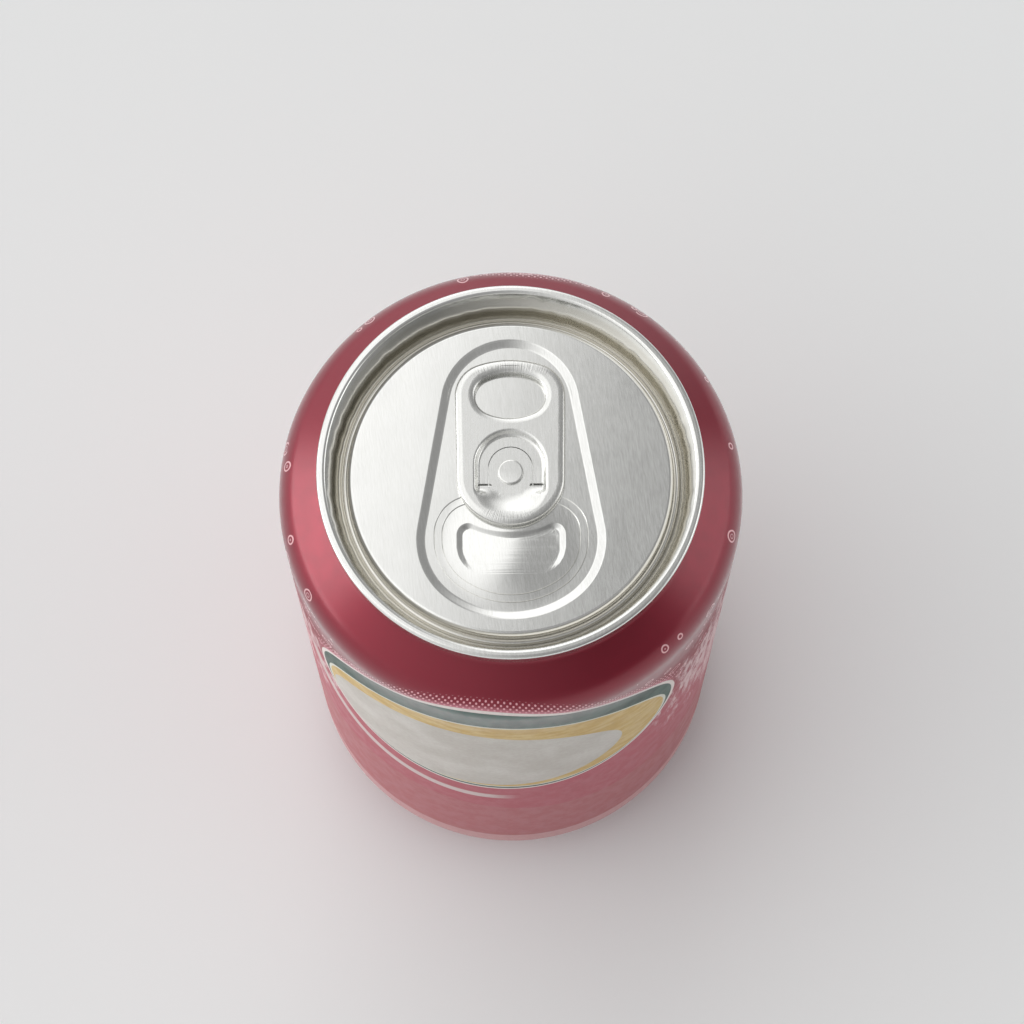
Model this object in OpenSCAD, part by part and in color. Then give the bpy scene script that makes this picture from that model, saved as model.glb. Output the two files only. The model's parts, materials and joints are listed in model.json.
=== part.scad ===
// Soda can: a drawn aluminium body, shut by a seamed end with a stay-on tab.
// The origin is at the centre of the standing ring. +Z runs up the can's axis,
// and the tear panel lies on the -Y side of the rivet.

/* [Body] */
// Overall height, from the standing ring to the top of the seam
can_h = 122.2; // [100:0.1:170]
// Diameter of the straight side
body_d = 66; // [55:0.1:80]
// Diameter of the neck just under the seam
neck_d = 52.4; // [50:0.1:54]
// Lean of the straight part of the shoulder, from the can's axis
shoulder_lean = 51; // [35:1:65]
// Radius of the rounded turn from the side into the shoulder
shoulder_r = 7; // [2:0.1:10]
// Radius of the hollow turn from the shoulder into the neck
throat_r = 2.4; // [1:0.1:5]
// Height of the straight neck under the seam
throat_h = 0.4; // [0.2:0.1:3]

/* [Base] */
// How far the standing ring's outer edge lies inside the side
heel_reach = 8.4; // [6:0.1:11]
// Rise of the heel's straight part, from level
heel_rise = 41; // [30:1:55]
// Radius of the turn from the heel into the side
heel_r = 9; // [3:0.1:12]
// Width of the flat standing ring
ring_w = 1.4; // [0.8:0.1:3]
// Height of the dome's crown above the floor
dome_h = 10.2; // [7:0.1:14]
// Height of the steep leg inside the standing ring
leg_h = 3.6; // [2:0.1:5]
// How far the leg leans inward over its height
leg_in = 1.1; // [0.5:0.1:2]

/* [End] */
// Height of the rolled seam
seam_h = 2.5; // [2:0.1:3.5]
// Thickness of the rolled seam, measured across
seam_w = 1.3; // [1:0.05:1.6]
// How far the seam stands out past the neck
seam_lip = 0.8; // [0.4:0.05:1.2]
// Radius of the seam's rounded upper edges
seam_r = 0.5; // [0.2:0.05:0.5]
// Depth of the groove's floor below the top of the seam
groove_depth = 6.5; // [5.5:0.1:7.5]
// Width of the groove's rounded floor
groove_w = 1; // [0.6:0.05:1.4]
// Lean of the wall between the groove and the seam, from the can's axis
wall_lean = 18; // [10:1:22]
// Depth of the flat panel below the top of the seam
panel_depth = 4.1; // [3:0.1:4.5]
// Radius of the panel's rounded rim
panel_edge_r = 0.7; // [0.3:0.05:0.9]
// Thickness of metal under the groove and behind the wall
end_t = 0.3; // [0.2:0.05:0.5]

/* [Deboss] */
// Room between the panel's rim and the far end of the deboss
deboss_far_gap = 2.6; // [2:0.1:4]
// Room between the panel's rim and the near end of the deboss
deboss_near_gap = 2.4; // [2:0.1:4]
// Radius of the deboss's far end
deboss_far_r = 9.75; // [9:0.05:11]
// Half the width of the deboss at its widest
deboss_half = 13.2; // [12.8:0.1:14]
// Radius of the deboss's two near corners
deboss_corner_r = 10.7; // [9:0.1:12]
// Radius of the deboss's near end
deboss_near_r = 15; // [14:0.1:17]
// Depth of the deboss
deboss_depth = 0.4; // [0.2:0.05:0.6]
// Width of the deboss's sloping step
deboss_step = 1.15; // [0.6:0.05:1.4]

/* [Tear panel] */
// Room between the foot of the deboss's step and the score line
score_gap = 1.25; // [0.8:0.05:1.6]
// Distance from the score line to the safety line inside it
score_pitch = 1.1; // [0.8:0.05:1.5]
// Width of the score lines
score_w = 0.16; // [0.12:0.01:0.25]
// Depth of the score lines
score_depth = 0.1; // [0.06:0.01:0.15]
// Distance from the rivet's axis to the score line's far end
score_start = 2.5; // [2.2:0.1:3.2]
// Radius of the score line's two far corners
score_corner_r = 5.5; // [4.5:0.1:5.8]
// Radius of the score line's flat far arc
score_far_r = 30; // [20:1:60]
// Half the width of the sunk pocket below the tab's nose
pocket_half = 7.65; // [7:0.05:8]
// Radius of the pocket's sides
pocket_side_r = 4.7; // [4.2:0.1:5]
// Distance between the centres of the pocket's corners and sides, along Y
pocket_drop = 1.6; // [1:0.1:2.4]
// Radius of the pocket's two far corners
pocket_corner_r = 1.75; // [1:0.05:2]
// Radius of the pocket's hollow far edge
pocket_far_r = 12; // [9:0.5:20]
// Room between the tab's nose and the pocket's far edge, seen from above
pocket_gap = 0.6; // [0.2:0.1:1.5]
// Depth of the pocket at its far edge, from where its floor ramps up
pocket_depth = 0.35; // [0.2:0.05:0.5]
// Width of the pocket's sloping step
pocket_step = 0.9; // [0.4:0.05:1.2]

/* [Rivet] */
// How far the rivet lies from the can's axis, towards the tab's far end
rivet_y = 0.6; // [0:0.1:1]
// Radius of the rivet's shank
rivet_r = 1.5; // [1.2:0.05:1.6]
// How far the rivet's flattened head stands out past its shank
rivet_lip = 0.3; // [0.2:0.05:0.5]
// Thickness of the rivet's head
rivet_head_t = 0.4; // [0.25:0.05:0.6]
// Radius of the raised seat under the tab
seat_r = 2.4; // [1.8:0.1:2.5]
// Height of the raised seat under the tab
seat_h = 0.25; // [0.15:0.05:0.5]

/* [Tab] */
// Room between the deboss's far end and the tab's far end
tab_far_gap = 3.2; // [2:0.1:4]
// Length of the tab from the rivet's axis to its nose
tab_nose = 7.8; // [7.4:0.1:8.4]
// Half the width of the tab's far end
tab_far_half = 7.8; // [7.4:0.1:8.2]
// Half the width of the tab's nose end
tab_near_half = 7.6; // [7.4:0.1:8]
// Radius of the tab's two far corners
tab_corner_r = 4.8; // [3.5:0.1:5.2]
// Radius of the tab's flat far arc
tab_far_r = 14; // [10:0.1:20]
// Radius of the nose's two corners
nose_corner_r = 5.9; // [5:0.1:6.2]
// Radius of the nose's tip
nose_r = 7.9; // [7.4:0.1:9]
// Thickness of the tab over its curled edges
tab_t = 1.3; // [1.1:0.05:1.8]
// Radius of the curled outer edge
curl_r = 0.6; // [0.3:0.05:0.65]
// Thickness of the tab's flat web round the rivet
web_t = 0.35; // [0.25:0.05:0.5]
// Running room round the rivet's shank
rivet_gap = 0.05; // [0.03:0.01:0.1]

/* [Finger hole] */
// Width of the finger hole
hole_w = 9.8; // [8:0.1:10.4]
// Length of the finger hole
hole_l = 6.6; // [5.6:0.1:6.8]
// Radius of the finger hole's corners
hole_corner_r = 2.8; // [1.5:0.1:2.8]
// Radius of the finger hole's long arcs
hole_arc_r = 8; // [7:0.1:14]
// Width of the curl between the finger hole and the tab's far end
hole_rim = 2; // [1.6:0.1:2.4]
// Least width of metal left between the finger hole and the hollow round the rivet
hole_bridge = 0.3; // [0.2:0.1:0.8]

/* [Rivet island] */
// Half the width of the hollow round the rivet
island_half = 4.35; // [4.1:0.05:4.6]
// Distance from the rivet's axis to the centre of the hollow's far arc
island_far = 0.9; // [0.5:0.1:1.2]
// Distance from the rivet's axis to the hollow's near end, in the nose
island_near = 5.8; // [5.4:0.1:6.2]
// Radius of the hollow's two near corners
island_corner_r = 3.2; // [2.4:0.1:3.6]
// Radius of the hollow's near end
island_near_r = 5.6; // [4.6:0.1:7]
// Width of the slope round the hollow
island_slope = 0.9; // [0.4:0.05:1]
// Distance from the rivet's axis to the middle of the two slots
slot_y = 1.85; // [1.7:0.05:2.2]
// Length of each slot
slot_l = 1.7; // [1.2:0.1:1.8]
// Width of each slot
slot_w = 0.5; // [0.3:0.05:0.7]
// Radius of the lanced arch round the rivet
lance_r = 3.1; // [2.8:0.05:3.2]
// Distance from the rivet's axis to the centre of the lanced arch
lance_far = 0.6; // [0.3:0.1:0.9]
// Width of the lanced arch's cut
lance_w = 0.12; // [0.08:0.01:0.2]

/* [Hidden] */
$fn = 96;
// Widest angle that one straight piece of an arc spans
arc_step = 6;
// Straight pieces across each quarter turn of the tab's curl
curl_steps = 4;
// How far a cutting shape runs past what it cuts
cut = 2;
// Shortest straight run between two arcs that an outline keeps
least_run = 0.01;

// Body
body_r = body_d / 2;
neck_r = neck_d / 2;
seam_z = can_h - seam_h;
throat_z = seam_z - throat_h;
shoulder_in = body_r - neck_r;
turn_in = (shoulder_r + throat_r) * (1 - cos(shoulder_lean));
turn_fit = min(1, shoulder_in / turn_in);
shoulder_turn = shoulder_r * turn_fit;
throat_turn = throat_r * turn_fit;
shoulder_run = (shoulder_in - turn_in * turn_fit) / tan(shoulder_lean);
shoulder_z = throat_z - (shoulder_turn + throat_turn) * sin(shoulder_lean) - shoulder_run;

// Base
ring_out = body_r - heel_reach;
ring_in = ring_out - ring_w;
heel_in = 1 - sin(heel_rise);
heel_turn = min(heel_r, heel_reach / heel_in);
heel_z = heel_turn * cos(heel_rise) + (heel_reach - heel_turn * heel_in) * tan(heel_rise);
leg_r = ring_in - leg_in;
dome_rise = dome_h - leg_h;
dome_r = (pow(leg_r, 2) + pow(dome_rise, 2)) / (2 * dome_rise);
dome_half = asin(leg_r / dome_r);

// End
seam_out = neck_r + seam_lip;
seam_mid = seam_out - seam_w + seam_r;
panel_z = can_h - panel_depth;
groove_r = groove_w / 2;
groove_z = can_h - groove_depth + groove_r;
under_z = can_h - groove_depth - end_t;
groove_mid = seam_mid - (seam_r + groove_r) / cos(wall_lean)
    - (can_h - seam_r - groove_z) * tan(wall_lean);
rim_r = groove_mid - groove_r;
flat_r = rim_r - panel_edge_r;

// Deboss and tear panel
floor_z = panel_z - deboss_depth;
deboss_far = rim_r - deboss_far_gap;
deboss_near = rim_r - deboss_near_gap;
score_in = deboss_step + score_gap;
score_half = deboss_half - score_in;
score_side_r = deboss_corner_r - score_in;
score_near_r = deboss_near_r - score_in;
score_near = deboss_near - score_in;
score_far = rivet_y - score_start;
score_y = -corner_y(score_near, score_near_r, score_side_r, score_half);
pocket_far = rivet_y - tab_nose - pocket_gap;
pocket_corner_x = pocket_half - pocket_corner_r;
pocket_corner_y = pocket_far + pocket_far_r
    - sqrt(pow(pocket_far_r + pocket_corner_r, 2) - pow(pocket_corner_x, 2));
pocket_side_x = pocket_half - pocket_side_r;
pocket_side_y = pocket_corner_y - pocket_drop;
pocket_near = pocket_side_y - pocket_side_r;
pocket_ramp = atan(pocket_depth / (pocket_corner_y - pocket_near));

// Tab
tab_z = floor_z + seat_h;
tab_top = tab_z + tab_t;
web_z = tab_z + web_t;
tab_far = deboss_far - tab_far_gap;
hole_far = tab_far - hole_rim;
hole_room = hole_far - rivet_y - island_far - island_half - island_slope - hole_bridge;
hole_fit = min(1, hole_room / hole_l);
hole_y = hole_far - hole_l * hole_fit / 2;

// Points of an arc round [x, y], from one angle to another, without the first skip of them
function arc(x, y, r, from, to, skip = 0) =
    let (steps = max(1, ceil(abs(to - from) / arc_step)))
    [for (k = [skip : steps]) let (a = from + (to - from) * k / steps) [x + r * cos(a), y + r * sin(a)]];

// Angle brought into one full turn
function wrap(a) = ((a % 360) + 360) % 360;

// Angle of the outward normal on the straight run from circle a to circle b, each [x, y, r]
function run_angle(a, b) =
    let (d = [b[0] - a[0], b[1] - a[1]])
    atan2(d[1], d[0]) - acos(max(-1, min(1, (a[2] - b[2]) / norm(d))));

// Length of the straight run between circles a and b, each [x, y, r]
function run_length(a, b) =
    sqrt(max(0, pow(b[0] - a[0], 2) + pow(b[1] - a[1], 2) - pow(a[2] - b[2], 2)));

// Outline of a belt run anticlockwise round circles, each [x, y, r], and moved inward by inset.
// A circle of negative radius bends the belt inward. Arcs that meet share one point.
function belt(circles, inset = 0) =
    let (n = len(circles))
    [for (i = [0 : n - 1])
        let (c = circles[i])
        let (last = circles[(i + n - 1) % n])
        let (from = run_angle(last, c))
        let (next = run_angle(c, circles[(i + 1) % n]))
        let (turn = c[2] < 0 ? -wrap(from - next) : wrap(next - from))
        let (skip = run_length(last, c) < least_run ? 1 : 0)
        each arc(c[0], c[1], c[2] - inset, from, from + turn, skip)];

// Distance from the origin to a corner circle's centre, where the end's arc runs smoothly into it
function corner_y(reach, end_r, corner_r, half) =
    reach - end_r + sqrt(max(0, pow(end_r - corner_r, 2) - pow(half - corner_r, 2)));

// Corner radius, as large as the end of an outline has room for on its side of the centre line
function corner_fit(reach, end_r, corner_r, half) =
    let (rise = end_r - reach + least_run)
    min(corner_r, (pow(end_r, 2) - pow(half, 2) - pow(rise, 2)) / (2 * (end_r - half)));

// The three circles of one end of an outline, from right to left, on the +Y side of y = 0
function end_belt(reach, end_r, corner_r, half) =
    let (r = corner_fit(reach, end_r, corner_r, half))
    let (y = corner_y(reach, end_r, r, half))
    [[half - r, y, r], [0, reach - end_r, end_r], [r - half, y, r]];

// Circles of an outline with two rounded ends, which meet at the height of its centre line
function two_ends(far, near, centre) = concat(
    [for (c = far) [c[0], centre + c[1], c[2]]],
    [for (c = near) [-c[0], centre - c[1], c[2]]]);

deboss_belt = let (y = corner_y(deboss_near, deboss_near_r, deboss_corner_r, deboss_half))
    [[0, deboss_far - deboss_far_r, deboss_far_r],
     [deboss_corner_r - deboss_half, -y, deboss_corner_r],
     [0, deboss_near_r - deboss_near, deboss_near_r],
     [deboss_half - deboss_corner_r, -y, deboss_corner_r]];
score_belt = two_ends(
    end_belt(score_far - score_y, score_far_r, score_corner_r, score_half),
    end_belt(score_y + score_near, score_near_r, score_side_r, score_half),
    score_y);
pocket_belt =
    [[-pocket_corner_x, pocket_corner_y, pocket_corner_r],
     [-pocket_side_x, pocket_side_y, pocket_side_r],
     [pocket_side_x, pocket_side_y, pocket_side_r],
     [pocket_corner_x, pocket_corner_y, pocket_corner_r],
     [0, pocket_far + pocket_far_r, -pocket_far_r]];
tab_belt = two_ends(
    end_belt(tab_far, tab_far_r, tab_corner_r, tab_far_half),
    end_belt(tab_nose - rivet_y, nose_r, nose_corner_r, tab_near_half),
    0);
hole_end = end_belt(hole_l / 2, hole_arc_r, hole_corner_r, hole_w / 2);
hole_points = [for (p = belt(two_ends(hole_end, hole_end, 0))) [p[0], hole_y + p[1] * hole_fit]];
island_belt = let (y = corner_y(island_near, island_near_r, island_corner_r, island_half))
    [[0, rivet_y + island_far, island_half],
     [island_corner_r - island_half, rivet_y - y, island_corner_r],
     [0, rivet_y + island_near_r - island_near, island_near_r],
     [island_half - island_corner_r, rivet_y - y, island_corner_r]];

// Half outline of the body, from the dome's crown round to the face that carries the end
function body_outline() = concat(
    arc(0, dome_h - dome_r, dome_r, 90, 90 - dome_half),
    [[ring_in, 0], [ring_out, 0]],
    arc(body_r - heel_turn, heel_z, heel_turn, heel_rise - 90, 0),
    arc(body_r - shoulder_turn, shoulder_z, shoulder_turn, 0, shoulder_lean),
    arc(neck_r + throat_turn, throat_z, throat_turn, 180 + shoulder_lean, 180),
    [[neck_r, seam_z], [wall_back(seam_z), seam_z], [wall_back(under_z), under_z], [0, under_z]]);

// Radius of the hidden back of the end's leaning wall, at height z
function wall_back(z) =
    groove_mid + (groove_r + end_t) / cos(wall_lean) + (z - groove_z) * tan(wall_lean);

// Half outline of the end, from its underside round the seam and the groove to the panel
function end_outline() = concat(
    [[0, under_z], [wall_back(under_z), under_z], [wall_back(seam_z), seam_z], [seam_out, seam_z]],
    arc(seam_out - seam_r, can_h - seam_r, seam_r, 0, 90),
    arc(seam_mid, can_h - seam_r, seam_r, 90, 180 - wall_lean),
    arc(groove_mid, groove_z, groove_r, -wall_lean, -180),
    arc(flat_r, panel_z - panel_edge_r, panel_edge_r, 0, 90),
    [[0, panel_z]]);

// Closed solid through rings, each [z, points], from the lowest to the highest
module loft(rings) {
    n = len(rings[0][1]);
    top = len(rings) - 1;
    points = [for (ring = rings) for (p = ring[1]) [p[0], p[1], ring[0]]];
    sides = [for (k = [0 : top - 1]) for (i = [0 : n - 1])
        [k * n + i, (k + 1) * n + i, (k + 1) * n + (i + 1) % n, k * n + (i + 1) % n]];
    floor = [for (i = [0 : n - 1]) i];
    roof = [for (i = [n - 1 : -1 : 0]) top * n + i];
    polyhedron(points = points, faces = concat([floor], sides, [roof]));
}

// Band that follows a belt's inner side
module line_band(circles, inset, width) {
    difference() {
        polygon(belt(circles, inset));
        polygon(belt(circles, inset + width));
    }
}

// Sinks the tear panel's field with a sloping step
module deboss_cut() {
    loft([
        [floor_z, belt(deboss_belt, deboss_step)],
        [panel_z, belt(deboss_belt)],
        [panel_z + cut, belt(deboss_belt)]]);
}

// Score line and safety line of the tear panel
module score_cut() {
    translate([0, 0, floor_z - score_depth])
        linear_extrude(score_depth + cut)
            for (inset = [0, score_pitch])
                line_band(score_belt, inset, score_w);
}

// Pocket under the tab's nose, deepest at its far edge and level with the panel at its near end
module pocket_cut() {
    intersection() {
        loft([
            [floor_z - pocket_depth, belt(pocket_belt, pocket_step)],
            [floor_z, belt(pocket_belt)],
            [floor_z + cut, belt(pocket_belt)]]);
        translate([-body_r, pocket_near, floor_z])
            rotate([-pocket_ramp, 0, 0])
                cube([body_d, body_r, body_r]);
    }
}

// Rivet, formed from the end's own metal
module rivet() {
    translate([0, rivet_y, floor_z]) {
        cylinder(h = seat_h, r = seat_r);
        cylinder(h = web_z - floor_z, r = rivet_r);
    }
    translate([0, rivet_y, web_z])
        cylinder(h = rivet_head_t, r = rivet_r + rivet_lip);
}

// Tab's blank, with its curled outer edge
module tab_blank() {
    lower = [for (k = [0 : curl_steps]) let (a = -90 + 90 * k / curl_steps)
        [tab_z + curl_r * (1 + sin(a)), belt(tab_belt, curl_r * (1 - cos(a)))]];
    upper = [for (k = [0 : curl_steps]) let (a = 90 * k / curl_steps)
        [tab_top + curl_r * (sin(a) - 1), belt(tab_belt, curl_r * (1 - cos(a)))]];
    loft(concat(lower, upper));
}

// Hollow round the rivet, open above and floored by the web
module island_cut() {
    loft([
        [web_z, belt(island_belt)],
        [tab_top, belt(island_belt, -island_slope)],
        [tab_top + cut, belt(island_belt, -island_slope)]]);
}

// Two slots and the arch that let the web bend round the rivet
module lance_cut() {
    for (side = [-1, 1])
        translate([side * (island_half - slot_l / 2), rivet_y - slot_y, tab_z])
            cube([slot_l, slot_w, 2 * cut], center = true);
    translate([0, rivet_y, tab_z - cut])
        linear_extrude(2 * cut)
            difference() {
                lance_outline(lance_r + lance_w / 2);
                lance_outline(lance_r - lance_w / 2);
            }
}

// Filled arch of radius r that stands on the slots
module lance_outline(r) {
    translate([0, lance_far])
        circle(r);
    translate([-r, -slot_y])
        square([2 * r, slot_y + lance_far]);
}

module can_body() {
    color("indianred")
        rotate_extrude()
            polygon(body_outline());
}

module can_end() {
    color("gainsboro") {
        difference() {
            rotate_extrude()
                polygon(end_outline());
            deboss_cut();
            score_cut();
            pocket_cut();
        }
        rivet();
    }
}

module tab() {
    color("silver")
        difference() {
            tab_blank();
            translate([0, 0, tab_z - cut])
                linear_extrude(tab_t + 2 * cut)
                    polygon(hole_points);
            island_cut();
            lance_cut();
            translate([0, rivet_y, tab_z - cut])
                cylinder(h = 2 * cut, r = rivet_r + rivet_gap);
        }
}

can_body();
can_end();
tab();
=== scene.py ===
"""Looks of a shut drinks can: its printed body, its seamed end and its stay-on tab.

Sizes are in millimetres in the can's own frame. The origin is at the centre of the standing ring,
+Z runs up the axis, and the tear panel lies on the -Y side of the rivet.
"""

import json
import logging
import math
from collections.abc import Callable, Sequence
from dataclasses import dataclass
from enum import Enum, IntEnum

import bmesh
import bpy
from mathutils import Matrix, Vector

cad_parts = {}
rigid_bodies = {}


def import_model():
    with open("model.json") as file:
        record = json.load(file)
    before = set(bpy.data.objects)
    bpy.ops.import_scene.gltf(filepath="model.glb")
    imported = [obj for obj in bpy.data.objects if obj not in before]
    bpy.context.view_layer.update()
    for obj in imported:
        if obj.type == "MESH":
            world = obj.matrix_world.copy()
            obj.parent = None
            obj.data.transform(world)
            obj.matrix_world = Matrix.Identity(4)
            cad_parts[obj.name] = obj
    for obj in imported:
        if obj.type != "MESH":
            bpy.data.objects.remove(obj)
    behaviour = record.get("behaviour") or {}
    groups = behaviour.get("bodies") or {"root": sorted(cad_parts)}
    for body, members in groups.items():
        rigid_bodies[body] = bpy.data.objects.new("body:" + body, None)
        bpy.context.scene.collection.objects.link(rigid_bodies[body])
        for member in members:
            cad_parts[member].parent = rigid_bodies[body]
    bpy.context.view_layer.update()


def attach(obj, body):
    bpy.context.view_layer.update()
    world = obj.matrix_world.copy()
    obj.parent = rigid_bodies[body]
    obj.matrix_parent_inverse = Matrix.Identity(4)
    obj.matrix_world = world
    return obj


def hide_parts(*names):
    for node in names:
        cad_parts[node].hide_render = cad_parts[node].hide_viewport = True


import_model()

log = logging.getLogger("can")

# A millimetre in metres. Then, in millimetres: points nearer than JOIN are merged, a ring as narrow
# as HAIR stands upright, and a flat strip of GUARD keeps the shading level beside an edge.
MM = 0.001
JOIN = 0.004
HAIR = 0.001
GUARD = 0.06
ARC_STEP = math.radians(2.5)
SPIN_STEPS = 256

Point = tuple[float, float]
Circle = tuple[float, float, float]
Colour = tuple[float, float, float, float]
Stretch = tuple[float, float, float]


class Plane(Enum):
    """Plane that an outline is drawn in."""

    LEVEL = "across the can's axis"
    UPRIGHT = "through the can's axis"


class Side(IntEnum):
    """Side of the tab, as the sign of its direction."""

    UPPER = 1
    LOWER = -1


class Hand(IntEnum):
    """Left or right of the rivet, as the sign of X."""

    LEFT = -1
    RIGHT = 1


@dataclass(frozen=True)
class Arc:
    """Part of a circle, from one angle to another, in degrees anticlockwise from the first axis."""

    x: float
    y: float
    radius: float
    start: float
    finish: float

    def at(self, angle: float) -> Point:
        """Returns the point of the circle at an angle in degrees."""
        turn = math.radians(angle)
        return self.x + self.radius * math.cos(turn), self.y + self.radius * math.sin(turn)


Stroke = Arc | Point


@dataclass(frozen=True)
class Belt:
    """Closed outline that runs anticlockwise round circles, as a belt runs round pulleys.

    A circle is (x, y, radius), and one of negative radius bends the belt inward.
    """

    circles: tuple[Circle, ...]

    def run_angle(self, index: int) -> float:
        """Finds the outward normal of the straight run that leaves a circle.

        Args:
            index: Which circle the run leaves.

        Returns:
            The normal's angle in degrees.
        """
        one = self.circles[index % len(self.circles)]
        two = self.circles[(index + 1) % len(self.circles)]
        apart = math.dist(one[:2], two[:2])
        lean = math.acos(max(-1.0, min(1.0, (one[2] - two[2]) / apart)))
        return math.degrees(math.atan2(two[1] - one[1], two[0] - one[0]) - lean)

    def strokes(self, inset: float = 0.0) -> list[Arc]:
        """Works out the belt's arcs.

        Args:
            inset: How far the belt is moved inward.

        Returns:
            One arc for each circle, in order.
        """
        arcs = []
        for index, (x, y, radius) in enumerate(self.circles):
            start = self.run_angle(index - 1)
            leave = self.run_angle(index)
            turn = -((start - leave) % 360) if radius < 0 else (leave - start) % 360
            arcs.append(Arc(x, y, radius - inset, start, start + turn))
        return arcs


@dataclass(frozen=True)
class RoundedEnd:
    """Rounded end of an outline: its reach along +Y, the radii of its tip and corners, half its width."""

    reach: float
    tip: float
    corner: float
    half: float

    def moved_in(self, inset: float) -> "RoundedEnd":
        """Returns the end moved inward all round."""
        return RoundedEnd(self.reach - inset, self.tip - inset, self.corner - inset, self.half - inset)

    def circles(self, way: int = 1, centre: float = 0.0) -> tuple[Circle, ...]:
        """Finds the circles of one corner, the tip and the other corner.

        Args:
            way: 1 for an end that points to +Y, -1 for one that is turned round to point to -Y.
            centre: Height of the line that the reach is measured from.

        Returns:
            The circles, anticlockwise.
        """
        spare = (self.tip - self.corner) ** 2 - (self.half - self.corner) ** 2
        side = self.half - self.corner
        y = self.reach - self.tip + math.sqrt(max(0.0, spare))
        circles = ((side, y, self.corner), (0.0, self.reach - self.tip, self.tip), (-side, y, self.corner))
        return tuple((way * x, centre + way * y, radius) for x, y, radius in circles)


def eased_slope(along: float, soft: float) -> float:
    """Gives the drop of a straight slope whose two ends are rounded off.

    Args:
        along: Share of the slope's width that is passed, from 0 to 1.
        soft: Share of the width that each rounded end takes.

    Returns:
        The share of the whole drop, from 0 to 1.
    """
    along = max(0.0, min(1.0, along))
    steep = 1 / (1 - soft)
    if along < soft:
        return steep * along ** 2 / (2 * soft)
    if along > 1 - soft:
        return 1 - steep * (1 - along) ** 2 / (2 * soft)
    return steep * (along - soft / 2)


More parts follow.
